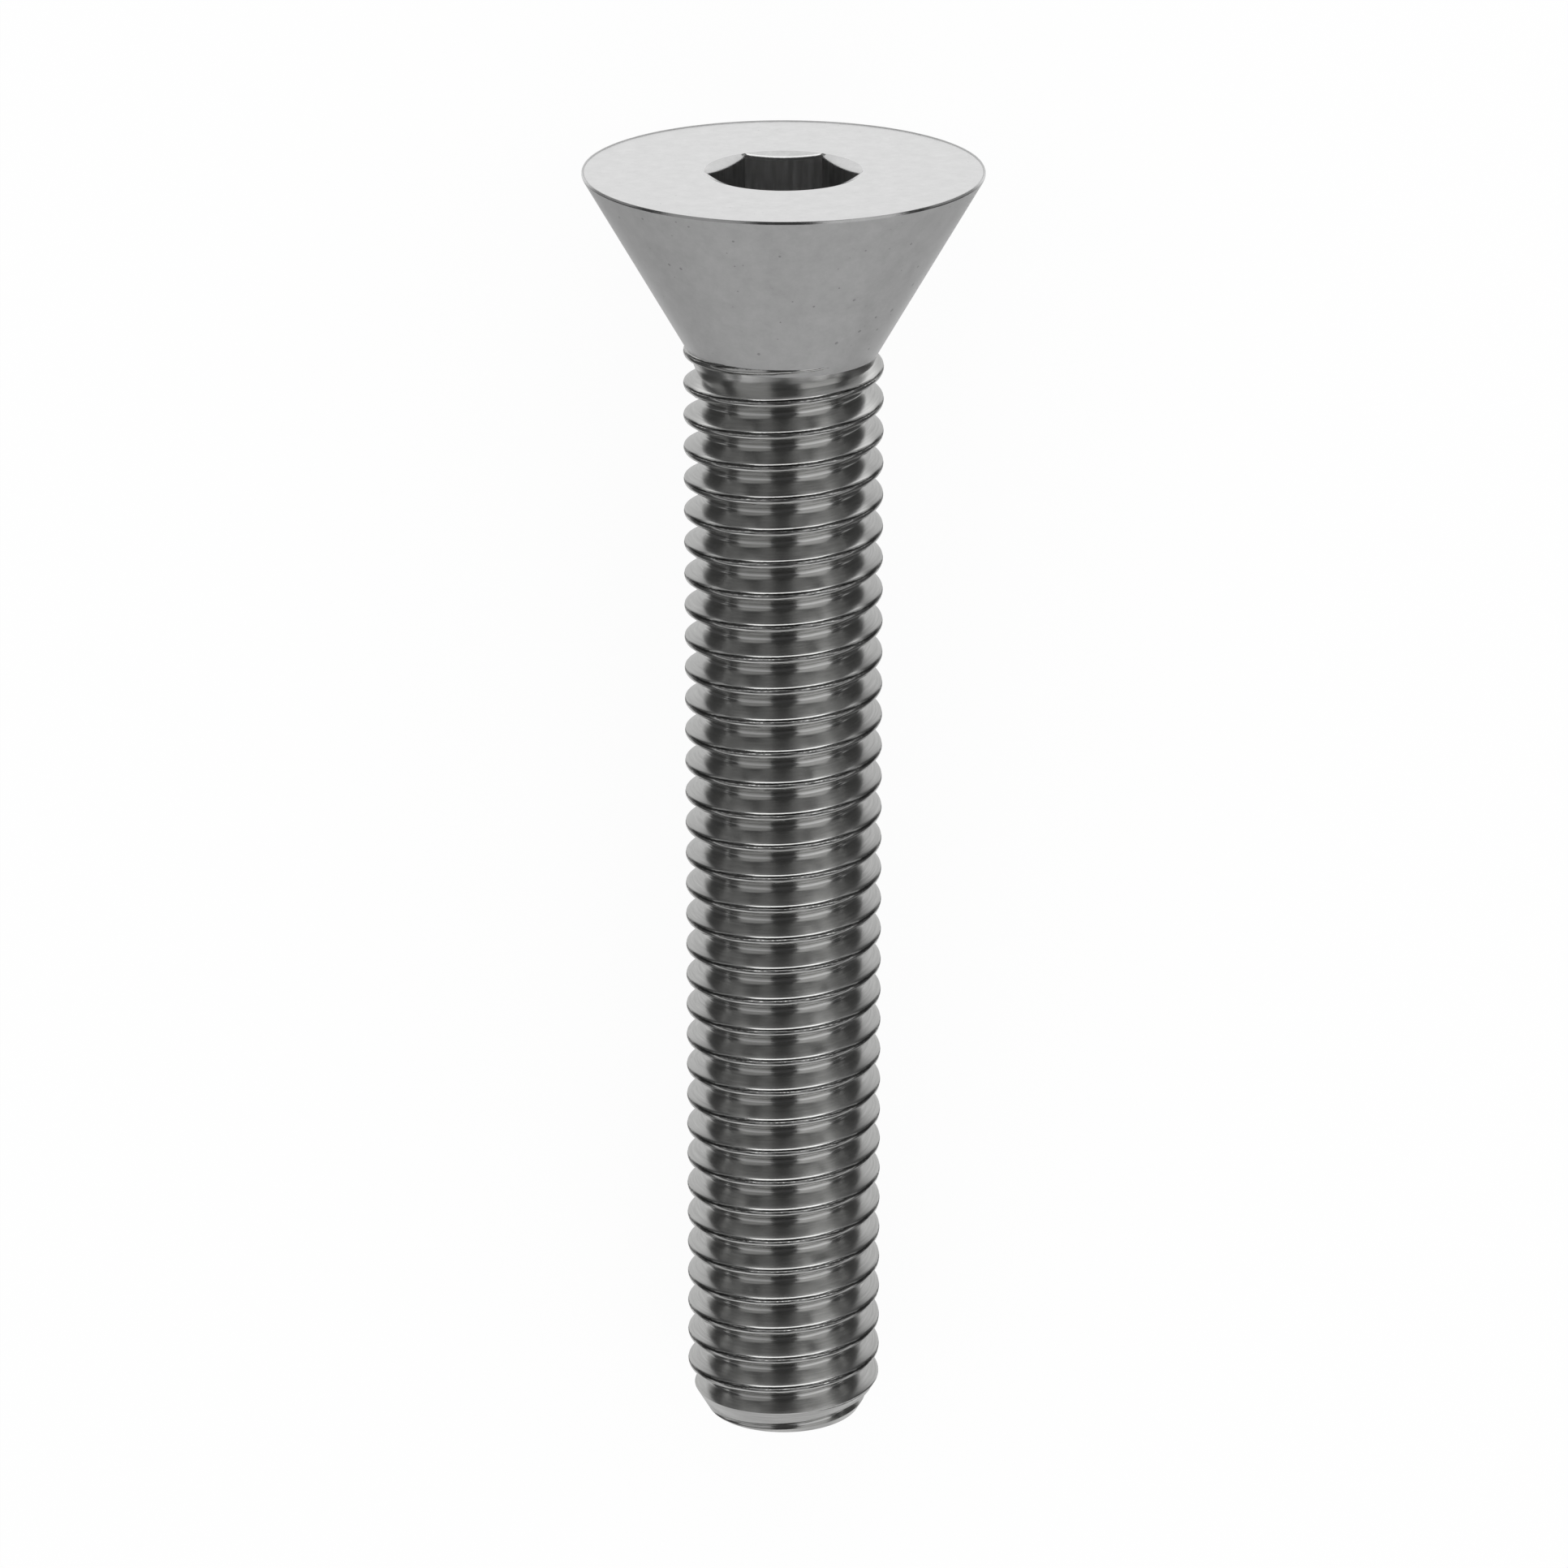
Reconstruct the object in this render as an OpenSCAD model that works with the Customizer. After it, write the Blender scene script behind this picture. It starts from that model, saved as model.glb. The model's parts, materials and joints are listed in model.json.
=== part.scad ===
// Countersunk screw with a hex socket, M6 x 1 x 40 mm, laid down as it comes to rest on a table.
// It is built upright about its own axis, with the head's top face at height 0 and the tip below it.
// The last module lays it on its side, on the rim of the head and on its last full crest of thread.

/* [Thread] */

// Thread diameter over the crests, mm
thread_d = 6; // [5:0.5:7]
// Distance from one crest to the next, mm
thread_pitch = 1; // [0.8:0.05:1.25]
// Overall length, from the top of the head to the tip, mm
screw_length = 40; // [20:1:50]
// Where round the screw a crest runs off the tip, degrees
thread_turn = 0; // [0:15:345]
// Flat steps in each turn of the flanks
thread_steps = 24; // [18:2:36]

/* [Tip] */

// How much the tip is smaller in radius than the thread, mm
tip_inset = 0.6; // [0.3:0.05:0.8]
// Angle between the slope of the tip and the axis, degrees
tip_angle = 30; // [25:5:45]

/* [Head] */

// Head diameter, mm
head_d = 11.96; // [10.5:0.02:13]
// Angle of the cone under the head, measured across it, degrees
cone_angle = 60; // [55:5:90]
// Height of the narrow upright land round the head, mm
rim_land = 0.02; // [0.01:0.01:0.4]
// Size of the broken edge round the top face, mm
rim_break = 0.03; // [0.01:0.01:0.2]

/* [Neck] */

// How much smaller in radius than the thread the cone is where it turns into the neck, mm
neck_inset = 0.17; // [0.05:0.01:0.25]
// How much smaller in radius than the thread the foot of the neck is, mm
foot_inset = 0.34; // [0.3:0.01:0.45]
// Height of the neck, mm
neck_length = 0.46; // [0.2:0.02:0.8]
// Height over which the neck then narrows to the root of the thread, mm
run_out = 0.48; // [0.2:0.02:1]

/* [Socket] */

// Hex socket across its flats, mm
socket_af = 4; // [3:0.5:5]
// Depth of the flats below the top face, mm
socket_depth = 3; // [2:0.1:3.2]
// How much wider the round mouth is than the corners of the hex, mm across
mouth_clearance = 0.08; // [0.04:0.02:0.4]
// Angle of the mouth's slope, measured across it, degrees
mouth_angle = 146; // [120:2:160]
// Angle of the drill point at the bottom, measured across it, degrees
point_angle = 120; // [110:2:140]

/* [Hidden] */

$fn = 96;

// The thread's section: a 60 degree V, cut flat at the crest and at the root.
thread_r = thread_d / 2;
v_height = thread_pitch * sqrt(3) / 2;
crest_cut = v_height / 8;
thread_depth = 0.6134 * thread_pitch;
root_r = thread_r - thread_depth;

// Flat steps cut inside a true circle, so the V is set out a little to lie on it on average.
step_fit = 2 / (1 + cos(180 / thread_steps));
v_peak_r = (thread_r + crest_cut) * step_fit;
v_valley_r = (thread_r + crest_cut - v_height) * step_fit;

// Heights, all measured from the top face and so negative.
tip_z = -screw_length;
tip_r = thread_r - tip_inset;
slope_z = tip_z + tip_inset / tan(tip_angle);
head_r = head_d / 2;
cone_top_z = -rim_break - rim_land;
cone_meets_thread_z = cone_top_z - (head_r - thread_r) / tan(cone_angle / 2);
// The thread starts this far inside the cone, where the cone hides its end.
thread_overlap = 0.15;
thread_top_z = cone_meets_thread_z + thread_overlap;

// The neck is bare metal in the thread's first groove, too close to the head for the rolls to reach.
neck_r = thread_r - neck_inset;
neck_z = cone_top_z - (head_r - neck_r) / tan(cone_angle / 2);
foot_r = thread_r - foot_inset;
foot_z = neck_z - neck_length;

// The root's core is smaller than the tip's end or the other way round, whichever the sizes give.
core_tip_r = min(root_r, tip_r);
core_slope_z = tip_z + (root_r - core_tip_r) / tan(tip_angle);

// The V rod runs past both ends before it is trimmed.
rod_spare = 1.6 * thread_pitch;
rod_turns = ceil((screw_length + thread_top_z + 2 * rod_spare) / thread_pitch);
rod_z = tip_z - ceil(rod_spare / thread_pitch) * thread_pitch - thread_pitch / 2;

// The socket.
corner_r = socket_af / sqrt(3);
mouth_r = corner_r + mouth_clearance / 2;
mouth_depth = (mouth_r - socket_af / 2) / tan(mouth_angle / 2);
point_depth = socket_af / 2 / tan(point_angle / 2);

// The underside once it lies down: the side at 90 degrees, where a crest comes every pitch.
rest_side = 90;
first_crest_z = tip_z + thread_pitch * (rest_side - thread_turn) / 360;
rest_count = ceil((slope_z - first_crest_z) / thread_pitch);
rest_crest_z = first_crest_z + rest_count * thread_pitch;
rim_rest_z = cone_top_z;
rest_tilt = atan((head_r - thread_r) / (rim_rest_z - rest_crest_z));
rest_height = head_r * cos(rest_tilt) - rim_rest_z * sin(rest_tilt);
rest_back = max((head_r - rim_break) * sin(rest_tilt), head_r * sin(rest_tilt) - rim_break * cos(rest_tilt));
rest_front = tip_z * cos(rest_tilt) - tip_r * sin(rest_tilt);

steel = [0.66, 0.66, 0.67];

// Ring n of the helix, at radius r and height z above the rod's start.
function turn_point(r, i, z) = [
    r * cos(360 * (i + 0.5) / thread_steps + thread_turn),
    r * sin(360 * (i + 0.5) / thread_steps + thread_turn),
    rod_z + thread_pitch * (i + 0.5) / thread_steps + z
];

// A solid rod whose whole surface is one sharp right-hand V, wound as a helix.
module v_rod() {
    n = thread_steps;
    last = n * rod_turns;
    valleys = [for (i = [0:last]) turn_point(v_valley_r, i, 0)];
    peaks = [for (i = [0:last]) turn_point(v_peak_r, i, thread_pitch / 2)];
    low_end = [0, 0, rod_z + thread_pitch / 2];
    high_end = [0, 0, rod_z + thread_pitch * rod_turns];
    peak = last + 1;
    low = 2 * (last + 1);
    high = low + 1;
    rising = [for (i = [0:last - 1]) each [[i, peak + i, i + 1], [i + 1, peak + i, peak + i + 1]]];
    falling = [for (i = [0:last - 1 - n]) each [
        [peak + i, i + n, peak + i + 1],
        [peak + i + 1, i + n, i + n + 1]
    ]];
    low_cap = [
        for (i = [0:n - 1]) [low, i, i + 1],
        [low, n, peak],
        [low, peak, 0]
    ];
    high_cap = [
        for (i = [last - n:last - 1]) [high, peak + i + 1, peak + i],
        [high, peak + last - n, last],
        [high, last, peak + last]
    ];
    polyhedron(
        points = concat(valleys, peaks, [low_end, high_end]),
        faces = concat(rising, falling, low_cap, high_cap),
        convexity = 10
    );
}

// The V rod trimmed round to the thread's diameter, sloped at the tip and cut off inside the head.
module thread() {
    intersection() {
        v_rod();
        rotate_extrude()
            polygon([
                [0, thread_top_z],
                [thread_r, thread_top_z],
                [thread_r, slope_z],
                [tip_r, tip_z],
                [0, tip_z]
            ]);
    }
}

// The head, its cone, the neck and the core inside the thread, as one turned shape.
module blank() {
    rotate_extrude()
        polygon([
            [0, 0],
            [head_r - rim_break, 0],
            [head_r, -rim_break],
            [head_r, cone_top_z],
            [neck_r, neck_z],
            [foot_r, foot_z],
            [root_r, foot_z - run_out],
            [root_r, core_slope_z],
            [core_tip_r, tip_z],
            [0, tip_z]
        ]);
}

// The six flats, the sloped round mouth and the drill point at the bottom.
module socket() {
    spare = 0.5;
    translate([0, 0, -socket_depth])
        cylinder(r = corner_r, h = socket_depth + spare, $fn = 6);
    translate([0, 0, -mouth_depth])
        cylinder(r1 = socket_af / 2, r2 = mouth_r + spare * tan(mouth_angle / 2), h = mouth_depth + spare);
    translate([0, 0, -socket_depth - point_depth])
        cylinder(r1 = 0, r2 = socket_af / 2, h = point_depth);
}

// From upright to lying, with the head to the back and the photographed side up.
module lie_down() {
    translate([0, -(rest_back + rest_front) / 2, rest_height])
        rotate([rest_tilt - 90, 0, 0])
            children();
}

module screw() {
    color(steel)
        lie_down()
            union() {
                difference() {
                    blank();
                    socket();
                }
                thread();
            }
}

screw();
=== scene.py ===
"""Countersunk socket screw, laid down as it rests, with its camera, floor and light."""
import json
import math

import bmesh
import bpy
from bpy.props import FloatProperty, FloatVectorProperty, IntProperty, PointerProperty
from mathutils import Matrix, Vector, noise


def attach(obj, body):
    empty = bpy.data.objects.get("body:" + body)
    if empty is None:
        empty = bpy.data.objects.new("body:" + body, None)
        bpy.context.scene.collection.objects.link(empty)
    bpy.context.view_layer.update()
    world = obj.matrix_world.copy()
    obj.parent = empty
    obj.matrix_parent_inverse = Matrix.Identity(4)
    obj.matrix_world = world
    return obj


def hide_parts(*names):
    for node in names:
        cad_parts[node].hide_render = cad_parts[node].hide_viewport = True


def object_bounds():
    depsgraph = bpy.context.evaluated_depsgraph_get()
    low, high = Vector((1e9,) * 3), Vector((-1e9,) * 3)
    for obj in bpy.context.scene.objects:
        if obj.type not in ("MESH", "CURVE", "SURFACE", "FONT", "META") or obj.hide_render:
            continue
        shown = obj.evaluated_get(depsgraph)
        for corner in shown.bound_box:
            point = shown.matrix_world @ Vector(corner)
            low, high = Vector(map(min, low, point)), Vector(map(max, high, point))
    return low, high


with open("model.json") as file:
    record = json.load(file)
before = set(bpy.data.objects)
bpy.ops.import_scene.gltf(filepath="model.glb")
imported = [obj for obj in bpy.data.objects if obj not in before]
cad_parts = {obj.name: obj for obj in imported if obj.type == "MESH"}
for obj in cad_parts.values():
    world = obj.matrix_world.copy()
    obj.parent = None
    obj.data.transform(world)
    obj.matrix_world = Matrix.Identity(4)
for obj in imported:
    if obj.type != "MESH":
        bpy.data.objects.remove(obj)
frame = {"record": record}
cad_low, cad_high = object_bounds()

bl_info = {
    "name": "Countersunk Socket Screw",
    "version": (1, 0, 0),
    "blender": (4, 5, 0),
    "location": "View3D > Sidebar > Socket Screw",
    "description": "Builds a countersunk screw with a rolled thread and hex socket, and its stage",
    "category": "Add Mesh",
}

# The screw is modelled upright in millimetres, with the top of its head at height 0.
MM = 0.001
# The five steels of the screw, by their places in its material slots.
HEAD, CONE, THREAD, SOCKET, EDGE = range(5)
MOUNTS = {mount["name"]: mount for mount in frame["record"]["mounts"]}
THREAD_RADIUS = MOUNTS["thread"]["dims"]["r_mm"] * MM


class ThreadSizes(bpy.types.PropertyGroup):
    """The rolled thread: a round root, straight flanks and two lobes with a seam on the crest."""

    diameter: FloatProperty(
        name="Diameter", description="Thread diameter over the crests",
        default=2 * THREAD_RADIUS, min=0.002, max=0.02, precision=5, unit="LENGTH")
    pitch: FloatProperty(
        name="Pitch", description="Distance from one crest to the next",
        default=0.001, min=0.0004, max=0.003, precision=5, unit="LENGTH")
    flank_angle: FloatProperty(
        name="Section angle", description="Angle between the two flanks of a groove",
        default=math.radians(60), min=math.radians(50), max=math.radians(70), subtype="ANGLE")
    root_radius: FloatProperty(
        name="Root radius", description="Radius of the round bottom of the groove",
        default=0.0001, min=0.00005, max=0.0003, precision=6, unit="LENGTH")
    crest_width: FloatProperty(
        name="Crest width", description="Width of the crest before its corners are rounded",
        default=0.000196, min=0.00005, max=0.0003, precision=6, unit="LENGTH")
    crest_shift: FloatProperty(
        name="Crest shift", description="How far the thread sits towards the head",
        default=-0.000023, min=-0.0005, max=0.0005, precision=6, unit="LENGTH")
    crest_top_radius: FloatProperty(
        name="Upper lobe", description="Rounding of the crest on the head's side of its seam",
        default=0.00011, min=0.00001, max=0.0002, precision=6, unit="LENGTH")
    crest_low_radius: FloatProperty(
        name="Lower lobe", description="Rounding of the crest on the tip's side of its seam",
        default=0.0002, min=0.00001, max=0.0003, precision=6, unit="LENGTH")
    seam_depth: FloatProperty(
        name="Seam depth", description="Depth of the seam that rolling leaves along the crest",
        default=0.000035, min=0.0, max=0.0001, precision=6, unit="LENGTH")
    seam_width: FloatProperty(
        name="Seam width", description="Width of the seam",
        default=0.00006, min=0.00001, max=0.0001, precision=6, unit="LENGTH")
    raggedness: FloatProperty(
        name="Raggedness", description="How far the crest's lower lip wanders",
        default=0.000026, min=0.0, max=0.00005, precision=6, unit="LENGTH")
    steps: IntProperty(
        name="Steps", description="Steps in each turn of the thread", default=112, min=48, max=180)


class TipSizes(bpy.types.PropertyGroup):
    """The sloped end of the thread."""

    inset: FloatProperty(
        name="Inset", description="How much smaller in radius the flat end is than the thread",
        default=0.0006, min=0.0002, max=0.001, precision=5, unit="LENGTH")
    angle: FloatProperty(
        name="Slope", description="Angle between the slope and the screw's axis",
        default=math.radians(30), min=math.radians(20), max=math.radians(50), subtype="ANGLE")


class HeadSizes(bpy.types.PropertyGroup):
    """The cone under the flat top, and how it runs into the thread."""

    length: FloatProperty(
        name="Overall length", description="From the top of the head to the tip",
        default=0.04, min=0.01, max=0.06, precision=5, unit="LENGTH")
    diameter: FloatProperty(
        name="Head diameter", description="Diameter of the head over its rim",
        default=cad_high.x - cad_low.x, min=0.006, max=0.03, precision=5, unit="LENGTH")
    cone_angle: FloatProperty(
        name="Cone angle", description="Angle of the cone, measured across it",
        default=math.radians(60), min=math.radians(55), max=math.radians(90), subtype="ANGLE")
    rim: FloatProperty(
        name="Rim", description="Height of the broken edge round the top",
        default=0.00007, min=0.00001, max=0.0003, precision=6, unit="LENGTH")
    lip_height: FloatProperty(
        name="Lip", description="How far the rim's lip stands above the top face",
        default=0.000026, min=0.000001, max=0.0001, precision=6, unit="LENGTH")
    neck_inset: FloatProperty(
        name="Neck inset",
        description="How much smaller in radius than the thread the cone's end is",
        default=0.00017, min=0.00002, max=0.0005, precision=6, unit="LENGTH")
    foot_inset: FloatProperty(
        name="Foot inset",
        description="How much smaller in radius than the thread the neck's foot is",
        default=0.00034, min=0.00002, max=0.0006, precision=6, unit="LENGTH")
    neck_length: FloatProperty(
        name="Neck length", description="Height of the bare neck between the cone and the thread",
        default=0.00046, min=0.0001, max=0.002, precision=5, unit="LENGTH")
    run_out: FloatProperty(
        name="Run-out", description="Height over which the neck narrows to the root of the thread",
        default=0.00048, min=0.0001, max=0.002, precision=5, unit="LENGTH")


class SocketSizes(bpy.types.PropertyGroup):
    """The hex socket in the head."""

    across_flats: FloatProperty(
        name="Across flats", description="Width of the hex between two opposite flats",
        default=0.004, min=0.002, max=0.01, precision=5, unit="LENGTH")
    depth: FloatProperty(
        name="Depth", description="Depth of the flats below the top of the head",
        default=0.003, min=0.001, max=0.006, precision=5, unit="LENGTH")
    mouth_clearance: FloatProperty(
        name="Mouth clearance", description="How much wider the round mouth is than the corners",
        default=0.00008, min=0.0, max=0.0005, precision=6, unit="LENGTH")
    mouth_angle: FloatProperty(
        name="Mouth angle", description="Angle of the round mouth's slope, measured across it",
        default=math.radians(146), min=math.radians(120), max=math.radians(160), subtype="ANGLE")
    edge_width: FloatProperty(
        name="Edge width", description="Width of the rounded edge between the mouth and the flats",
        default=0.00011, min=0.0, max=0.0003, precision=6, unit="LENGTH")
    point_angle: FloatProperty(
        name="Drill point", description="Angle of the drill point, measured across it",
        default=math.radians(120), min=math.radians(90), max=math.radians(140), subtype="ANGLE")


class SteelFinish(bpy.types.PropertyGroup):
    """Colours and roughness of the steel on the head, the cone, the thread and the socket."""

    head_colour: FloatVectorProperty(
        name="Head", description="Colour of the satin steel on top of the head",
        default=(0.72, 0.72, 0.72), size=3, subtype="COLOR", min=0, max=1)
    cone_colour: FloatVectorProperty(
        name="Cone", description="Colour of the duller steel on the cone",
        default=(0.36, 0.36, 0.36), size=3, subtype="COLOR", min=0, max=1)
    thread_colour: FloatVectorProperty(
        name="Thread", description="Colour of the brighter rolled steel on the thread",
        default=(0.68, 0.68, 0.67), size=3, subtype="COLOR", min=0, max=1)
    edge_colour: FloatVectorProperty(
        name="Edges", description="Colour of the glossy steel on the rim and the socket's mouth",
        default=(0.6, 0.6, 0.6), size=3, subtype="COLOR", min=0, max=1)
    socket_colour: FloatVectorProperty(
        name="Socket", description="Colour of the pressed steel inside the socket",
        default=(0.52, 0.52, 0.52), size=3, subtype="COLOR", min=0, max=1)
    head_roughness: FloatProperty(
        name="Head roughness", description="Roughness of the satin steel on the head and the cone",
        default=0.32, min=0, max=1, subtype="FACTOR")
    edge_roughness: FloatProperty(
        name="Edge roughness", description="Roughness of the glossy edges",
        default=0.16, min=0, max=1, subtype="FACTOR")
    cone_metal: FloatProperty(
        name="Cone metal", description="How much the cone reflects; the rest scatters light evenly",
        default=0.05, min=0, max=1, subtype="FACTOR")
    cone_sheen: FloatProperty(
        name="Cone sheen", description="How much the cone lightens where it turns away",
        default=0.5, min=0, max=1, subtype="FACTOR")
    flank_roughness: FloatProperty(
        name="Flank roughness", description="Roughness of the thread's flanks",
        default=0.22, min=0, max=1, subtype="FACTOR")
    crest_roughness: FloatProperty(
        name="Crest roughness", description="Roughness of the thread's crest",
        default=0.17, min=0, max=1, subtype="FACTOR")
    root_roughness: FloatProperty(
        name="Root roughness", description="Roughness of the thread's root",
        default=0.17, min=0, max=1, subtype="FACTOR")


class StageSettings(bpy.types.PropertyGroup):
    """Floor, light and camera."""

    floor_colour: FloatVectorProperty(
        name="Floor", description="Colour of the floor and of the backdrop behind it",
        default=(1.0, 1.0, 1.0), size=3, subtype="COLOR", min=0, max=1)
    floor_size: FloatProperty(
        name="Floor size", description="Side of the square floor",
        default=2.4, min=0.2, max=10, unit="LENGTH")
    shadow_lift: FloatProperty(
        name="Shadow lift", description="How much the floor glows, which keeps the shadow pale",
        default=0.94, min=0, max=1, subtype="FACTOR")
    floor_near: FloatProperty(
        name="Floor near", description="Brightness in metal of the floor close to the screw",
        default=0.62, min=0, max=1, subtype="FACTOR")
    floor_far: FloatProperty(
        name="Floor beside", description="Brightness in metal of the floor further to the sides",
        default=0.07, min=0, max=1, subtype="FACTOR")
    room_light: FloatProperty(
        name="Room light", description="Even light that the world gives to matt surfaces",
        default=0.6, min=0, max=2)
    studio_light: FloatProperty(
        name="Studio", description="Brightness in metal of the room between the panels",
        default=0.05, min=0, max=1)
    right_light: FloatProperty(
        name="Right panel", description="Brightness of the long panel on the right",
        default=0.62, min=0, max=10)
    left_light: FloatProperty(
        name="Left panel", description="Brightness of the long panel on the left",
        default=0.34, min=0, max=10)
    front_light: FloatProperty(
        name="Front panel", description="Brightness of the low panel past the tip",
        default=0.6, min=0, max=10)
    front_right_light: FloatProperty(
        name="Front right panel", description="Brightness of the low panel right of the tip",
        default=0.2, min=0, max=10)
    front_left_light: FloatProperty(
        name="Front left panel", description="Brightness of the low panel left of the tip",
        default=0.14, min=0, max=10)
    upper_front_light: FloatProperty(
        name="Upper front panels", description="Brightness of the two panels high past the tip",
        default=0.26, min=0, max=10)
    back_light: FloatProperty(
        name="Back panel", description="Brightness of the panel past the head",
        default=1.45, min=0, max=10)


class SocketScrewSettings(bpy.types.PropertyGroup):
    """All settings of the screw and its stage."""

    thread: PointerProperty(type=ThreadSizes)
    tip: PointerProperty(type=TipSizes)
    head: PointerProperty(type=HeadSizes)
    socket: PointerProperty(type=SocketSizes)
    steel: PointerProperty(type=SteelFinish)
    stage: PointerProperty(type=StageSettings)


# Small helpers for meshes

# Steps in a turn of the round parts: the head and its mouth, the tip's trimmer, the drill point.
HEAD_STEPS = 240
TRIM_STEPS = 256
DRILL_STEPS = 120
# Points closer than this are made one after a turning and after the cuts, in millimetres.
TURNED_MERGE = 1e-5
CUT_MERGE = 2e-4


def arc(centre_r, centre_z, radius, start, end, count):
    """Points on an arc in the radius-height plane, with angles from straight out, upwards."""
    points = []
    for i in range(count + 1):
        angle = math.radians(start + (end - start) * i / count)
        points.append((centre_r + radius * math.cos(angle), centre_z + radius * math.sin(angle)))
    return points


def chain(bm, points):
    """Adds the points (radius, height) as joined vertices in the XZ plane."""
    verts = [bm.verts.new((r, 0.0, z)) for r, z in points]
    edges = [bm.edges.new(pair) for pair in zip(verts, verts[1:])]
    return verts + edges


def object_from(bm, name, steels=(), kind=0):
    """Makes a linked object from the bmesh, with the steels as slots and one of them in use."""
    mesh = bpy.data.meshes.new(name)
    for face in bm.faces:
        face.material_index = kind
    bm.to_mesh(mesh)
    bm.free()
    for steel in steels:
        mesh.materials.append(steel)
    made = bpy.data.objects.new(name, mesh)
    bpy.context.scene.collection.objects.link(made)
    return made


def lathe(name, points, segments, steels, kind):
    """A closed solid turned about the axis from a profile that starts and ends on it."""
    bm = bmesh.new()
    bmesh.ops.spin(
        bm, geom=chain(bm, points), cent=(0, 0, 0), axis=(0, 0, 1), angle=math.tau,
        steps=segments, use_merge=True)
    bmesh.ops.remove_doubles(bm, verts=bm.verts, dist=TURNED_MERGE)
    bmesh.ops.recalc_face_normals(bm, faces=bm.faces)
    return object_from(bm, name, steels, kind)


def combine(target, tool, operation):
    """Joins, cuts or trims the target with the tool, which is used up."""
    step = target.modifiers.new(operation.title(), "BOOLEAN")
    step.operation = operation
    step.solver = "EXACT"
    step.material_mode = "INDEX"
    step.object = tool
    graph = bpy.context.evaluated_depsgraph_get()
    old = target.data
    target.data = bpy.data.meshes.new_from_object(target.evaluated_get(graph))
    target.modifiers.clear()
    bpy.data.meshes.remove(old)
    used = tool.data
    bpy.data.objects.remove(tool)
    bpy.data.meshes.remove(used)


# The thread

# Over the last CREST_FADE millimetres below the cone, the crest sinks by CREST_SINK.
CREST_FADE = 0.45
CREST_SINK = 0.05
# The rod reaches this far into the cone above the height where the two meet.
ROD_OVERLAP = 0.5
# The crest's upper lobe begins this many degrees round, where the seam ends.
LOBE_TURN = 26
# How far from the lower lip and from the seam a vertex still wanders with them, in millimetres.
LIP_REACH = 0.05
SEAM_REACH = 0.03
# Vertices deeper than this below the lip stay where they are.
WORN_DEPTH = 0.02


class ThreadForm:
    """The thread's measures in millimetres, worked out once from its settings."""

    def __init__(self, sizes, head):
        self.radius = sizes.diameter / 2 / MM
        self.pitch = sizes.pitch / MM
        self.half_angle = sizes.flank_angle / 2
        self.root_round = sizes.root_radius / MM
        self.crest_half = sizes.crest_width / 2 / MM
        self.shift = sizes.crest_shift / MM
        self.top_round = sizes.crest_top_radius / MM
        self.low_round = sizes.crest_low_radius / MM
        self.seam_depth = sizes.seam_depth / MM
        self.seam_half = sizes.seam_width / 2 / MM
        self.raggedness = sizes.raggedness / MM
        self.steps = sizes.steps
        self.tip_z = -head.length / MM
        self.valley_r = self.radius - (self.pitch / 2 - self.crest_half) / math.tan(self.half_angle)
        self.root_centre_r = self.valley_r + self.root_round / math.sin(self.half_angle)
        self.slope = math.degrees(math.pi / 2 - self.half_angle)
        corner = math.tan(math.radians(self.slope) / 2)
        self.low_z = self.shift - self.crest_half + self.low_round * corner
        self.top_z = self.shift + self.crest_half - self.top_round * corner
        self.lip_z = self.low_z - self.low_round * math.cos(self.half_angle)
        self.lip_r = self.radius - self.low_round * (1 - math.sin(self.half_angle))
        lobe_end_z = self.top_z + self.top_round * math.sin(math.radians(LOBE_TURN))
        self.seam_z = lobe_end_z - self.seam_half

    def section(self):
        """One pitch of the section, from the middle of a root to the middle of the next."""
        few_steps = 3
        more_steps = 5
        low_root_z = self.shift - self.pitch / 2
        high_root_z = self.shift + self.pitch / 2
        low = arc(
            self.root_centre_r, low_root_z, self.root_round, 180, 180 - self.slope, few_steps)
        high = arc(
            self.root_centre_r, high_root_z, self.root_round, 180 + self.slope, 180, few_steps)
        low_lobe = arc(
            self.radius - self.low_round, self.low_z, self.low_round, -self.slope, 0, more_steps)
        seam = [
            (self.radius, self.seam_z - self.seam_half),
            (self.radius - self.seam_depth, self.seam_z),
        ]
        top_lobe = arc(
            self.radius - self.top_round, self.top_z, self.top_round, LOBE_TURN, self.slope,
            few_steps)
        lower_flank = self.between(low[-1], low_lobe[0])
        upper_flank = self.between(top_lobe[-1], high[0])
        return low + lower_flank + low_lobe + seam + top_lobe + upper_flank + high

    @staticmethod
    def between(start, end):
        """Two points on a flank, close to its ends, so that the flank stays flat when shaded."""
        return [
            (start[0] + (end[0] - start[0]) * part, start[1] + (end[1] - start[1]) * part)
            for part in (0.12, 0.88)
        ]

    def crest_height(self, point):
        """Height of the point over the middle of the crest nearest to it."""
        turn = math.atan2(point.y, point.x) / math.tau
        above = (point.z - self.tip_z) / self.pitch - turn
        return (above - round(above)) * self.pitch


def sink_last_crest(bm, form, neck_z):
    """Lowers the crest a little where it runs into the cone."""
    for vert in bm.verts:
        near = min(max((vert.co.z - neck_z) / CREST_FADE + 1, 0.0), 1.0)
        limit = form.radius - CREST_SINK * near * near
        radius = math.hypot(vert.co.x, vert.co.y)
        if radius > limit:
            vert.co.x *= limit / radius
            vert.co.y *= limit / radius


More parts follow.
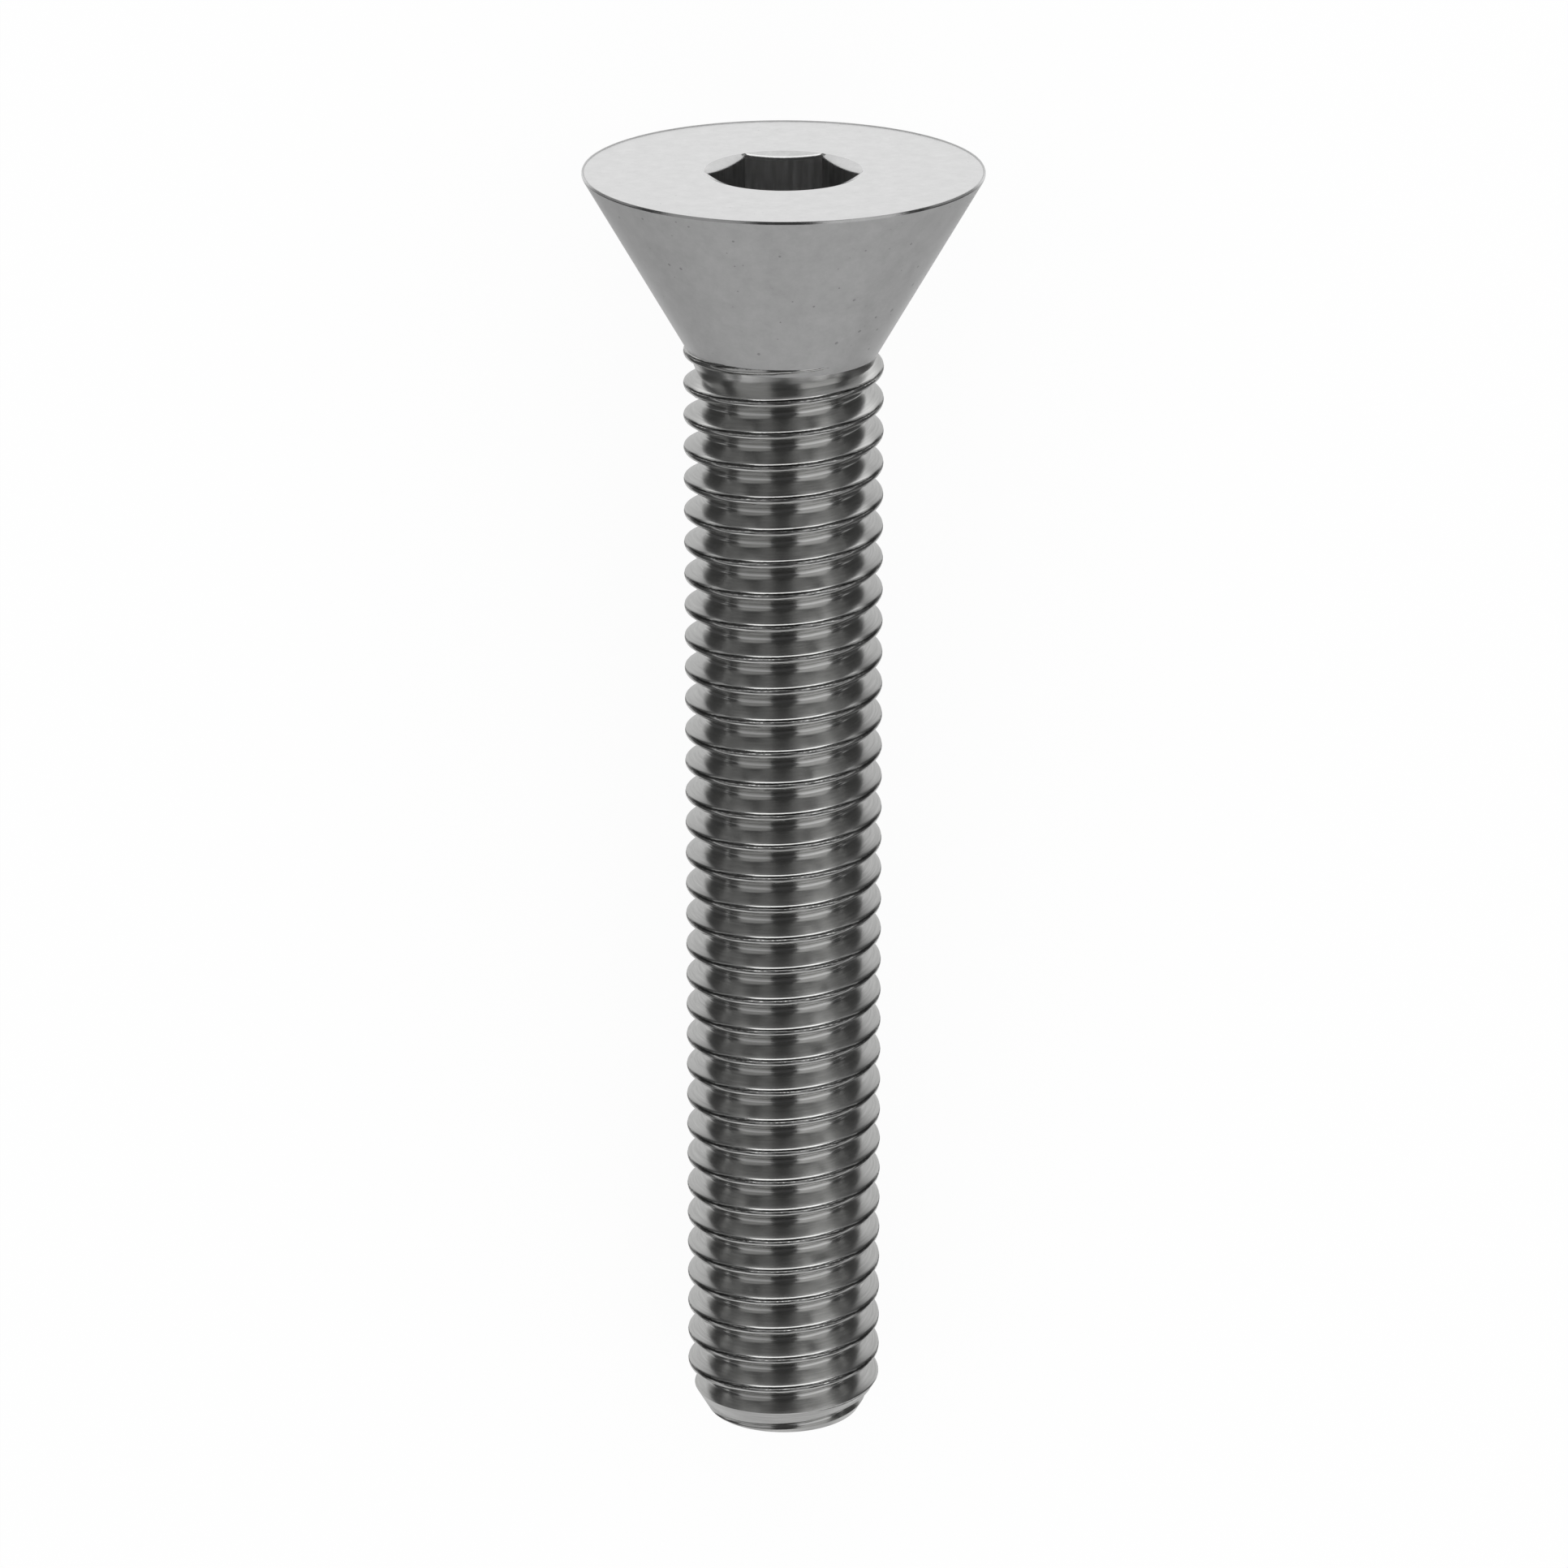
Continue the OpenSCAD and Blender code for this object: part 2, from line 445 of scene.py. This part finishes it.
def wear_crest(bm, form):
    """Lets the crest's lower lip and its seam wander, as rolling leaves them."""
    for vert in bm.verts:
        radius = math.hypot(vert.co.x, vert.co.y)
        height = form.crest_height(vert.co)
        lip = max(1 - abs(height - form.lip_z) / LIP_REACH, 0.0)
        seam = max(1 - abs(height - form.seam_z) / SEAM_REACH, 0.0)
        if radius < form.lip_r - WORN_DEPTH or lip + seam == 0:
            continue
        # The wear changes a little faster round the screw than along it.
        place = Vector((vert.co.x * 3.1, vert.co.y * 3.1, vert.co.z * 2.3))
        fine = noise.noise(place * 2.3 + Vector((7.1, 0.0, 0.0)))
        coarse = noise.noise(place * 0.6)
        vert.co.z += form.raggedness * (lip * fine + 0.5 * coarse + 0.3 * seam * fine)
        dent = form.raggedness * lip * abs(noise.noise(place * 1.7 + Vector((0.0, 3.3, 0.0))))
        keep = (radius - dent) / radius
        vert.co.x *= keep
        vert.co.y *= keep


def threaded_rod(form, cone_z, steels):
    """The helical thread as a closed rod, from the tip up to a little inside the cone."""
    top_z = cone_z + ROD_OVERLAP
    spare = 1
    turns = math.ceil((top_z - form.tip_z) / form.pitch) + 2 * spare + 1
    start_z = form.tip_z - spare * form.pitch
    bm = bmesh.new()
    profile = [(r, z + start_z) for r, z in form.section()]
    bmesh.ops.spin(
        bm, geom=chain(bm, profile), cent=(0, 0, 0), axis=(0, 0, 1), angle=math.tau,
        dvec=(0, 0, form.pitch / form.steps), steps=form.steps, use_merge=False)
    first = bm.verts[:] + bm.edges[:] + bm.faces[:]
    for turn in range(1, turns):
        copy = bmesh.ops.duplicate(bm, geom=first)["geom"]
        verts = [item for item in copy if isinstance(item, bmesh.types.BMVert)]
        bmesh.ops.translate(bm, verts=verts, vec=(0, 0, turn * form.pitch))
    between_turns = form.pitch * 1e-3
    bmesh.ops.remove_doubles(bm, verts=bm.verts, dist=between_turns)
    wear_crest(bm, form)
    sink_last_crest(bm, form, cone_z)
    cut_flat(bm, top_z, upwards=True)
    cut_flat(bm, form.tip_z, upwards=False)
    bmesh.ops.recalc_face_normals(bm, faces=bm.faces)
    return object_from(bm, "screw", steels, THREAD)


def cut_flat(bm, height, upwards):
    """Cuts the open rod off at a height and closes the cut with one flat face."""
    on_plane = 1e-5
    cut = bmesh.ops.bisect_plane(
        bm, geom=bm.verts[:] + bm.edges[:] + bm.faces[:], dist=on_plane,
        plane_co=(0, 0, height), plane_no=(0, 0, 1), clear_outer=upwards,
        clear_inner=not upwards)
    edges = [item for item in cut["geom_cut"] if isinstance(item, bmesh.types.BMEdge)]
    bmesh.ops.edgeloop_fill(bm, edges=edges)


def tip_trimmer(form, tip, steels):
    """A round solid that is straight over the thread and sloped at the tip, to trim it by."""
    slack = 0.5
    inset = tip.inset / MM
    slope = math.tan(tip.angle)
    end_r = form.radius - inset
    return lathe("tip_trimmer", [
        (0.0, slack),
        (form.radius + slack, slack),
        (form.radius + slack, form.tip_z + (inset + slack) / slope),
        (end_r - slack * slope, form.tip_z - slack),
        (0.0, form.tip_z - slack),
    ], TRIM_STEPS, steels, THREAD)


# The head

def head_blank(form, head, steels):
    """The head with its low lip and its cone, and the neck that runs out to the thread's root."""
    radius = head.diameter / 2 / MM
    rim = head.rim / MM
    half_cone = head.cone_angle / 2
    start_r = form.radius - head.neck_inset / MM
    start_z = -rim - (radius - start_r) / math.tan(half_cone)
    end_r = form.radius - head.foot_inset / MM
    end_z = start_z - head.neck_length / MM
    fillet = 0.025
    slope = math.tan(half_cone)
    root = form.root_centre_r - form.root_round
    fall = head.run_out / MM
    hidden = 0.25
    lip = head.lip_height / MM
    # From the middle of the top: up the lip, over it, down the rim and the cone, and in again.
    made = lathe("head", [
        (0.0, 0.0),
        (radius - 1.1 * rim, 0.0),
        (radius - 0.75 * rim, lip),
        (radius - 0.3 * rim, lip),
        (radius, -0.2 * rim),
        (radius, -0.8 * rim),
        (radius - 0.25 * rim, -rim - 0.25 * rim / math.tan(half_cone)),
        (start_r + fillet * slope, start_z + fillet),
        (start_r + (end_r - start_r) * fillet / (start_z - end_z), start_z - fillet),
        (end_r, end_z),
        (root, end_z - fall),
        (root - hidden, end_z - fall - hidden),
        (0.0, end_z - fall - hidden),
    ], HEAD_STEPS, steels, HEAD)
    # The lip's inner slope and its top have the cone's duller steel, and the rim is glossy.
    for face in made.data.polygons:
        if face.center.z < start_z:
            face.material_index = THREAD
        elif face.center.z < -1.1 * rim or face.center.z > 0.3 * lip:
            face.material_index = CONE
        elif abs(face.center.z) > 0.01 * rim:
            face.material_index = EDGE
    return made


def socket_radii(socket):
    """Radius in millimetres to the socket's flats, to its corners and to its round mouth."""
    flat = socket.across_flats / 2 / MM
    corner = flat / math.cos(math.pi / 6)
    return flat, corner, corner + socket.mouth_clearance / 2 / MM


def cut_socket(screw, socket, steels):
    """Cuts the six flats, the sloped round mouth and the drill point."""
    spare = 0.5
    flat, corner, mouth_r = socket_radii(socket)
    depth = socket.depth / MM
    slope = math.tan(socket.mouth_angle / 2)
    mouth_z = -(mouth_r - flat) / slope
    flats = [(0.0, spare), (corner, spare), (corner, -depth), (0.0, -depth)]
    combine(screw, lathe("flats", flats, 6, steels, SOCKET), "DIFFERENCE")
    under = 0.05
    combine(screw, lathe("mouth", [
        (0.0, spare),
        (mouth_r + spare * slope, spare),
        (flat - under, mouth_z - under / slope),
        (0.0, mouth_z - under / slope),
    ], HEAD_STEPS, steels, EDGE), "DIFFERENCE")
    point = flat / math.tan(socket.point_angle / 2)
    clear = 0.005
    combine(screw, lathe("drill_point", [
        (0.0, -depth + spare),
        (flat - clear, -depth + spare),
        (flat - clear, -depth),
        (0.0, -depth - point),
    ], DRILL_STEPS, steels, SOCKET), "DIFFERENCE")


def round_mouth(screw, socket):
    """Rounds the edge along which the mouth meets the six flats, and keeps it inside the mouth."""
    # The rounding stays this far inside the mouth's outer edge, on the mouth's own slope.
    inset = 0.008
    limit = socket_radii(socket)[2] - inset
    limit_z = -inset / math.tan(socket.mouth_angle / 2)
    bm = bmesh.new()
    bm.from_mesh(screw.data)
    bmesh.ops.remove_doubles(bm, verts=bm.verts, dist=CUT_MERGE)
    bmesh.ops.recalc_face_normals(bm, faces=bm.faces)
    edges = [
        edge for edge in bm.edges
        if {face.material_index for face in edge.link_faces} == {EDGE, SOCKET}]
    rounded = bmesh.ops.bevel(
        bm, geom=edges, offset=socket.edge_width / MM, offset_type="OFFSET", segments=4,
        profile=0.5, affect="EDGES", material=-1, clamp_overlap=False)
    for face in rounded["faces"]:
        face.material_index = EDGE
    for vert in rounded["verts"]:
        radius = math.hypot(vert.co.x, vert.co.y)
        if radius > limit:
            vert.co = (vert.co.x * limit / radius, vert.co.y * limit / radius, limit_z)
    bm.to_mesh(screw.data)
    bm.free()


# Finishes

class NodeMaker:
    """Empties the node tree of a new material or world, and has the steps that fill it."""

    def __init__(self, owner):
        self.owner = owner
        owner.use_nodes = True
        self.tree = owner.node_tree
        self.tree.nodes.clear()

    def feed(self, value, socket):
        """Links another node's output to the socket, or sets the socket to a constant."""
        if isinstance(value, bpy.types.NodeSocket):
            self.tree.links.new(value, socket)
        else:
            socket.default_value = value

    def add(self, kind, **values):
        """A node of this kind, with values for its own settings and for its named sockets."""
        made = self.tree.nodes.new(kind)
        for key, value in values.items():
            if hasattr(made, key):
                setattr(made, key, value)
            else:
                self.feed(value, made.inputs[key.replace("_", " ")])
        return made

    def add_in_order(self, kind, terms, **values):
        """A node of this kind whose sockets have no names of their own, fed in their order."""
        made = self.add(kind, **values)
        for term, socket in zip(terms, made.inputs):
            self.feed(term, socket)
        return made

    def maths(self, operation, *terms):
        """The result of the operation on sockets and numbers."""
        made = self.add_in_order("ShaderNodeMath", terms, operation=operation)
        return made.outputs["Value"]

    def scaled(self, vector, scale):
        """The vector with each of its parts multiplied."""
        made = self.add_in_order("ShaderNodeVectorMath", (vector, scale), operation="MULTIPLY")
        return made.outputs["Vector"]

    def noise(self, place, scale, detail, roughness=0.5):
        """A cloudy pattern, mostly between 0.3 and 0.7."""
        made = self.add(
            "ShaderNodeTexNoise", Vector=place, Scale=scale, Detail=detail, Roughness=roughness)
        return made.outputs["Fac"]

    def mapped(self, source, start, end, first, last, way="SMOOTHSTEP"):
        """A step from the first value to the last, as the source runs from start to end."""
        made = self.add(
            "ShaderNodeMapRange", interpolation_type=way, Value=source, From_Min=start,
            From_Max=end, To_Min=first, To_Max=last)
        return made.outputs["Result"]

    def toned(self, pattern, first, last):
        """A cloudy pattern, brought to the range from the first value to the last."""
        return self.mapped(pattern, 0.3, 0.7, first, last, "LINEAR")

    def between(self, part, first, second):
        """The number that lies this part of the way from the first to the second."""
        made = self.add("ShaderNodeMix", data_type="FLOAT", Factor=part, A=first, B=second)
        return made.outputs["Result"]

    def mixed(self, part, first, second, blend="MIX"):
        """The first colour, with this part of the second mixed or multiplied in."""
        made = self.add(
            "ShaderNodeMix", data_type="RGBA", blend_type=blend, Factor=part, A=first, B=second)
        return made.outputs["Result"]

    def shaded(self, colour, shade):
        """The colour, darker or lighter by the shade."""
        return self.mixed(1.0, (*colour, 1.0), shade, "MULTIPLY")

    def chosen(self, ray, usual, special):
        """The usual shader, or the special one where the ray is of the given kind."""
        made = self.add_in_order("ShaderNodeMixShader", (ray, usual, special))
        return made.outputs["Shader"]

    def raised(self, pattern, strength, distance):
        """A normal that makes the pattern look raised."""
        made = self.add(
            "ShaderNodeBump", Strength=strength, Distance=distance, Height=pattern)
        return made.outputs["Normal"]

    def along_axis(self, to_upright):
        """Coordinates in millimetres along and across the screw's own axis."""
        coords = self.add("ShaderNodeTexCoord")
        made = self.add(
            "ShaderNodeMapping", vector_type="POINT", Vector=coords.outputs["Object"],
            Rotation=to_upright.to_euler(), Location=to_upright.translation / MM,
            Scale=(1 / MM, 1 / MM, 1 / MM))
        return made.outputs["Vector"]

    def end_as_steel(self, **values):
        """Ends the tree with the shader that has these values, and gives the material."""
        shader = self.add("ShaderNodeBsdfPrincipled", **values)
        self.add("ShaderNodeOutputMaterial", Surface=shader.outputs["BSDF"])
        return self.owner


def pits(nodes, place, size):
    """Small pits of uneven size, strewn over the surface: 1 inside them and 0 elsewhere."""
    spots = nodes.add("ShaderNodeTexVoronoi", Vector=place, Scale=2.6, Randomness=1.0)
    patchy = nodes.noise(place, 1.7, 2.0)
    reach = nodes.mapped(patchy, 0.4, 0.64, 0.0, size, "LINEAR")
    return nodes.maths("LESS_THAN", spots.outputs["Distance"], reach)


def satin_steel(name, to_upright, colour, roughness, metal=1.0, sheen=0.0, pit_size=0.0):
    """Satin steel with soft mottling, small dark pits and a fine grain."""
    nodes = NodeMaker(bpy.data.materials.new(name))
    place = nodes.along_axis(to_upright)
    mottle = nodes.noise(place, 1.8, 6.0, 0.75)
    plain = nodes.shaded(colour, nodes.toned(mottle, 0.88, 1.08))
    in_pits = (*[0.62 * part for part in colour], 1.0)
    grain = nodes.noise(place, 38.0, 3.0, 0.7)
    return nodes.end_as_steel(
        Base_Color=nodes.mixed(pits(nodes, place, pit_size), plain, in_pits),
        Metallic=metal,
        Roughness=nodes.toned(mottle, roughness - 0.05, roughness + 0.07),
        Sheen_Weight=sheen,
        Sheen_Roughness=0.35,
        Normal=nodes.raised(grain, 0.06, 0.00003))


def round_the_thread(nodes, place, form):
    """The angle round the axis, the radius, and the height measured along with the thread."""
    split = nodes.add("ShaderNodeSeparateXYZ", Vector=place)
    angle = nodes.maths("ARCTAN2", split.outputs["Y"], split.outputs["X"])
    rise = nodes.maths("MULTIPLY", angle, form.pitch / math.tau)
    height = nodes.maths("SUBTRACT", split.outputs["Z"], rise)
    across = nodes.scaled(place, (1.0, 1.0, 0.0))
    length = nodes.add_in_order("ShaderNodeVectorMath", (across,), operation="LENGTH")
    return angle, length.outputs["Value"], height


# Painted shade: the crest's seam, a crevice, is coloured near-black where it would lie in shade.
def painted_shade_in_seam(nodes, place, radius, height, form):
    """How far painted shade darkens the seam along the crest, with ragged edges."""
    seam_z = form.tip_z + form.seam_z
    half = form.pitch / 2
    wander = nodes.mapped(nodes.noise(place, 9.0, 3.0), 0.3, 0.7, -0.014, 0.014)
    wandered = nodes.maths("ADD", height, wander)
    in_one_pitch = nodes.maths("WRAP", wandered, seam_z + half, seam_z - half)
    from_seam = nodes.maths("ABSOLUTE", nodes.maths("SUBTRACT", in_one_pitch, seam_z))
    in_seam = nodes.mapped(from_seam, 0.8 * form.seam_half, 1.5 * form.seam_half, 1.0, 0.0)
    on_crest = nodes.mapped(radius, form.radius - 0.11, form.radius - 0.09, 0.0, 0.75)
    return nodes.maths("MULTIPLY", in_seam, on_crest)


def rolled_thread_steel(finish, to_upright, form):
    """Brighter rolled steel, with fine streaks that run round with the thread, and painted shade in
    the crest's seam.
    """
    nodes = NodeMaker(bpy.data.materials.new("Rolled thread steel"))
    place = nodes.along_axis(to_upright)
    angle, radius, height = round_the_thread(nodes, place, form)
    turn = nodes.maths("MULTIPLY", angle, 0.12)
    wound = nodes.add("ShaderNodeCombineXYZ", X=radius, Y=turn, Z=height)
    streaks = nodes.noise(wound.outputs["Vector"], 14.0, 4.0, 0.65)
    plain = nodes.shaded(finish.thread_colour, nodes.toned(streaks, 0.86, 1.08))
    # How far the seam is painted dark, as painted shade in the crevice.
    seam_shade = painted_shade_in_seam(nodes, place, radius, height, form)
    flank_to_crest = nodes.mapped(
        radius, form.radius - 0.12, form.radius - 0.03, finish.flank_roughness,
        finish.crest_roughness)
    more_in_root = nodes.mapped(
        radius, form.root_centre_r - 0.02, form.root_centre_r + 0.12,
        finish.root_roughness - finish.flank_roughness, 0.0)
    return nodes.end_as_steel(
        # The seam is painted near-black: painted shade in the crevice, not a colour of the steel.
        Base_Color=nodes.mixed(seam_shade, plain, (0.06, 0.06, 0.058, 1.0)),
        Metallic=1.0,
        Roughness=nodes.maths("ADD", flank_to_crest, more_in_root),
        Normal=nodes.raised(streaks, 0.03, 0.00002))


def pressed_socket_steel(finish, to_upright):
    """Darker steel with upright draw marks, left by the punch."""
    nodes = NodeMaker(bpy.data.materials.new("Pressed socket steel"))
    place = nodes.along_axis(to_upright)
    marks = nodes.noise(nodes.scaled(place, (1.0, 1.0, 0.12)), 7.0, 4.0, 0.6)
    return nodes.end_as_steel(
        Base_Color=nodes.shaded(finish.socket_colour, nodes.toned(marks, 0.8, 1.1)),
        Metallic=1.0,
        Roughness=nodes.toned(marks, 0.28, 0.42),
        Normal=nodes.raised(marks, 0.15, 0.00003))


# The finished surface and its place

def smooth_surfaces(screw):
    """Merges what the cuts left double, and shades smooth all but the true edges."""
    sharp = math.radians(34)
    sharp_between_steels = math.radians(8)
    bm = bmesh.new()
    bm.from_mesh(screw.data)
    bmesh.ops.remove_doubles(bm, verts=bm.verts, dist=CUT_MERGE)
    bmesh.ops.dissolve_degenerate(bm, edges=bm.edges, dist=CUT_MERGE / 2)
    bmesh.ops.recalc_face_normals(bm, faces=bm.faces)
    for face in bm.faces:
        face.smooth = True
    for edge in bm.edges:
        kinds = {face.material_index for face in edge.link_faces}
        limit = sharp if len(kinds) == 1 else sharp_between_steels
        edge.smooth = edge.calc_face_angle(math.pi) < limit
    bm.to_mesh(screw.data)
    bm.free()


def upright_place():
    """Where the upright screw lies in the frame, read from the mount on the top of its head."""
    mount = MOUNTS["head_top"]
    along = Vector(mount["axis"]).normalized()
    across = Vector((1, 0, 0))
    side = along.cross(across)
    turn = Matrix((across, side, along)).transposed().to_4x4()
    return Matrix.Translation(mount["pos_m"]) @ turn


def declare(piece, node):
    """Puts the piece on the root body, in place of its CAD node."""
    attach(piece, "root")
    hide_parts(node)


class MESH_OT_socket_screw_add(bpy.types.Operator):
    """Builds the screw with its thread, cone head and hex socket, where the frame has it"""

    bl_idname = "mesh.socket_screw_add"
    bl_label = "Add Socket Screw"
    bl_options = {"REGISTER", "UNDO"}

    def execute(self, context):
        settings = context.scene.socket_screw
        head = settings.head
        finish = settings.steel
        form = ThreadForm(settings.thread, head)
        place = upright_place()
        to_upright = place.inverted()
        steels = (
            satin_steel(
                "Satin head steel", to_upright, finish.head_colour, finish.head_roughness,
                pit_size=0.06),
            satin_steel(
                "Cone steel", to_upright, finish.cone_colour, finish.head_roughness,
                metal=finish.cone_metal, sheen=finish.cone_sheen, pit_size=0.16),
            rolled_thread_steel(finish, to_upright, form),
            pressed_socket_steel(finish, to_upright),
            satin_steel(
                "Glossy edge steel", to_upright, finish.edge_colour, finish.edge_roughness))
        cone_z = -(head.diameter / 2 / MM - form.radius) / math.tan(head.cone_angle / 2)
        screw = threaded_rod(form, cone_z, steels)
        combine(screw, tip_trimmer(form, settings.tip, steels), "INTERSECT")
        combine(screw, head_blank(form, head, steels), "UNION")
        cut_socket(screw, settings.socket, steels)
        round_mouth(screw, settings.socket)
        smooth_surfaces(screw)
        if not screw.data.polygons:
            raise RuntimeError("the screw has no faces")
        screw.data.transform(place @ Matrix.Scale(MM, 4))
        screw.name = "socket_screw"
        declare(screw, "screw")
        return {"FINISHED"}


# The stage

# The camera's lens, place and lean, which match the photograph's view of the screw.
CAMERA_LENS = 150.56
CAMERA_PLACE = (0.0139 * MM, 54.161 * MM, 197.630 * MM)
CAMERA_TILT = math.radians(-15.507)
# Where the floor's brightness in metal changes: beside the screw, to both sides past its head,
# and along it past the head and past the tip.
FADE_BESIDE = (5.5 * MM, 9.5 * MM)
FADE_BACK_SIDES = (9 * MM, 16 * MM)
FADE_PAST_HEAD = (16 * MM, 20 * MM)
FADE_PAST_TIP = (-22 * MM, -34 * MM)
# Each light panel has a name, the way to it from the screw, its width and height in degrees,
# the setting of its brightness and its share of that setting.
PANELS = (
    ("right_panel", (0.70, 0.0, 0.72), 50, 68, "right_light", 1.0),
    ("left_panel", (-0.70, 0.0, 0.72), 50, 68, "left_light", 1.0),
    ("front_panel", (0.0, -0.98, 0.17), 76, 22, "front_light", 1.0),
    ("front_right_panel", (0.86, -0.46, 0.21), 14, 28, "front_right_light", 1.0),
    ("front_left_panel", (-0.86, -0.46, 0.21), 14, 28, "front_left_light", 1.0),
    ("upper_right_panel", (0.28, -0.77, 0.57), 16, 26, "upper_front_light", 1.0),
    ("upper_left_panel", (-0.28, -0.77, 0.57), 16, 26, "upper_front_light", 0.7),
    ("back_panel", (0.0, 0.94, 0.34), 58, 38, "back_light", 1.0),
)


def set_camera():
    """Looks down on the lying screw from the photographed side."""
    data = bpy.data.cameras.new("camera")
    data.lens = CAMERA_LENS
    data.sensor_width = 36.0
    data.clip_start = 0.01
    data.clip_end = 50.0
    camera = bpy.data.objects.new("camera", data)
    camera.location = CAMERA_PLACE
    camera.rotation_euler = (CAMERA_TILT, 0.0, 0.0)
    bpy.context.scene.collection.objects.link(camera)
    bpy.context.scene.camera = camera


def floor_in_metal(nodes, stage):
    """How bright metal sees the floor: pale near the screw and past its head, darker beside it."""
    coords = nodes.add("ShaderNodeTexCoord")
    split = nodes.add("ShaderNodeSeparateXYZ", Vector=coords.outputs["Object"])
    along = split.outputs["Y"]
    aside = nodes.maths("ABSOLUTE", split.outputs["X"])
    beside = nodes.mapped(aside, *FADE_BESIDE, stage.floor_near, stage.floor_far)
    past_head = nodes.mapped(aside, *FADE_BACK_SIDES, 1.0, 0.3)
    past_tip = 0.5
    at_head = nodes.mapped(along, *FADE_PAST_HEAD, 0.0, 1.0)
    at_tip = nodes.mapped(along, *FADE_PAST_TIP, 0.0, 1.0)
    return nodes.between(at_tip, nodes.between(at_head, beside, past_head), past_tip)


def pale_floor(stage):
    """A matt floor that keeps a pale shadow, and that glows, brighter near the screw and darker
    beside it, only where metal mirrors it.
    """
    nodes = NodeMaker(bpy.data.materials.new("Pale floor"))
    colour = (*stage.floor_colour, 1.0)
    path = nodes.add("ShaderNodeLightPath")
    matt = nodes.add("ShaderNodeBsdfDiffuse", Color=colour)
    glow = nodes.add("ShaderNodeEmission", Color=colour)
    seen = nodes.maths("MULTIPLY", path.outputs["Is Camera Ray"], stage.shadow_lift)
    lifted = nodes.chosen(seen, matt.outputs["BSDF"], glow.outputs["Emission"])
    in_metal = nodes.add(
        "ShaderNodeEmission", Color=colour, Strength=floor_in_metal(nodes, stage))
    mirrored = nodes.maths(
        "MAXIMUM", path.outputs["Is Glossy Ray"], path.outputs["Is Transmission Ray"])
    both = nodes.chosen(mirrored, lifted, in_metal.outputs["Emission"])
    nodes.add("ShaderNodeOutputMaterial", Surface=both)
    return nodes.owner


def add_floor(stage):
    """The pale floor, which isn't part of the screw."""
    bm = bmesh.new()
    bmesh.ops.create_grid(bm, x_segments=1, y_segments=1, size=stage.floor_size / 2)
    floor = object_from(bm, "floor")
    floor.data.materials.append(pale_floor(stage))


def set_world(stage):
    """Even light on matt surfaces, white behind the floor, and a dim studio seen in the steel."""
    world = bpy.data.worlds.new("Studio")
    bpy.context.scene.world = world
    nodes = NodeMaker(world)
    white = (1.0, 1.0, 1.0, 1.0)
    path = nodes.add("ShaderNodeLightPath")
    room = nodes.add("ShaderNodeBackground", Color=white, Strength=stage.room_light)
    studio = nodes.add("ShaderNodeBackground", Color=white, Strength=stage.studio_light)
    backdrop = nodes.add("ShaderNodeBackground", Color=(*stage.floor_colour, 1.0))
    lit = nodes.chosen(
        path.outputs["Is Glossy Ray"], room.outputs["Background"], studio.outputs["Background"])
    both = nodes.chosen(path.outputs["Is Camera Ray"], lit, backdrop.outputs["Background"])
    nodes.add("ShaderNodeOutputWorld", Surface=both)
    world.cycles.sampling_method = "NONE"


def add_panel(name, toward, width, height, brightness):
    """A rectangular softbox that faces the screw, its height turned along the screw's length."""
    distance = 0.4
    back = Vector(toward).normalized()
    side = Vector((0, 1, 0)).cross(back).normalized()
    up = back.cross(side)
    data = bpy.data.lights.new(name, "AREA")
    data.shape = "RECTANGLE"
    data.size = 2 * distance * math.tan(math.radians(width) / 2)
    data.size_y = 2 * distance * math.tan(math.radians(height) / 2)
    data.energy = brightness * math.pi * data.size * data.size_y
    panel = bpy.data.objects.new(name, data)
    turn = Matrix((side, up, back)).transposed().to_4x4()
    panel.matrix_world = Matrix.Translation(back * distance) @ turn
    bpy.context.scene.collection.objects.link(panel)


class SCENE_OT_screw_stage_add(bpy.types.Operator):
    """Sets up the camera, the pale floor, the room light and the light panels"""

    bl_idname = "scene.screw_stage_add"
    bl_label = "Add Stage"
    bl_options = {"REGISTER", "UNDO"}

    def execute(self, context):
        stage = context.scene.socket_screw.stage
        set_camera()
        add_floor(stage)
        set_world(stage)
        for name, toward, width, height, setting, share in PANELS:
            add_panel(name, toward, width, height, share * getattr(stage, setting))
        context.scene.view_settings.view_transform = "Standard"
        return {"FINISHED"}


class VIEW3D_PT_socket_screw(bpy.types.Panel):
    """Lists the sizes, finishes and steps of the screw"""

    bl_label = "Countersunk Socket Screw"
    bl_idname = "VIEW3D_PT_socket_screw"
    bl_space_type = "VIEW_3D"
    bl_region_type = "UI"
    bl_category = "Socket Screw"

    def draw(self, context):
        settings = context.scene.socket_screw
        groups = (
            ("Thread", settings.thread), ("Tip", settings.tip), ("Head", settings.head),
            ("Socket", settings.socket), ("Steel", settings.steel), ("Stage", settings.stage))
        for title, group in groups:
            box = self.layout.box()
            box.label(text=title)
            for name in group.__annotations__:
                box.prop(group, name)
        self.layout.operator(SCENE_OT_screw_stage_add.bl_idname)
        self.layout.operator(MESH_OT_socket_screw_add.bl_idname)


CLASSES = (
    ThreadSizes, TipSizes, HeadSizes, SocketSizes, SteelFinish, StageSettings,
    SocketScrewSettings, MESH_OT_socket_screw_add, SCENE_OT_screw_stage_add,
    VIEW3D_PT_socket_screw)


def register():
    for cls in CLASSES:
        bpy.utils.register_class(cls)
    bpy.types.Scene.socket_screw = PointerProperty(type=SocketScrewSettings)


def unregister():
    del bpy.types.Scene.socket_screw
    for cls in reversed(CLASSES):
        bpy.utils.unregister_class(cls)


def main():
    """Builds the stage and the screw."""
    register()
    bpy.ops.scene.screw_stage_add()
    bpy.ops.mesh.socket_screw_add()


if __name__ == "__main__":
    main()
